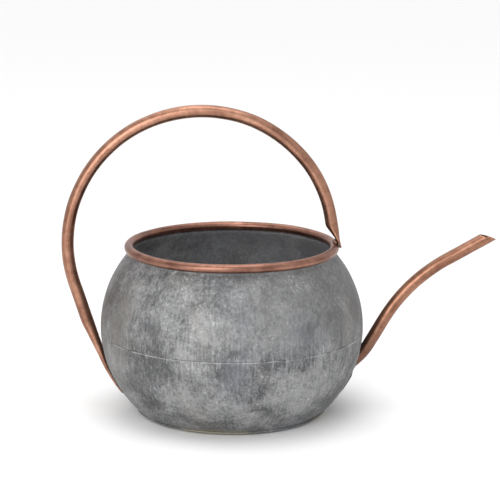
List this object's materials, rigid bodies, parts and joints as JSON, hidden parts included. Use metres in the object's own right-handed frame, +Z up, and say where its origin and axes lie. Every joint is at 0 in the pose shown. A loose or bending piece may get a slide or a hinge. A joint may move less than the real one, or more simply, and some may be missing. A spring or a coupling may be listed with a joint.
{
  "type": "watering can",
  "caption": "Round bowl-shaped watering can in weathered galvanised sheet, with a copper hoop handle, rolled copper rim and long curved copper spout.",
  "frame": {"origin": "centre of the flat base, on the surface that the can stands on", "axes": "+Z up, +X towards the spout, so the handle and spout lie in the XZ plane"},
  "size_m": [0.4339, 0.2636, 0.3106],
  "materials": {
    "galvanised_sheet": "dull weathered zinc coating, cloudy grey with fine streaks and pale specks",
    "copper": "antiqued copper, brushed along the tube, darker brown at the edges",
    "solder": "dull uneven solder"
  },
  "bodies": {
    "root": {"upper_shell": "galvanised_sheet", "lower_shell": "galvanised_sheet", "base_plate": "galvanised_sheet", "rim_tube": "copper", "handle": "copper", "spout": "copper", "spout_tongue": "copper", "waist_solder": "solder", "base_solder": "solder", "spout_solder": "solder", "handle_front_solder": "solder", "handle_rear_solder": "solder"}
  },
  "joints": []
}
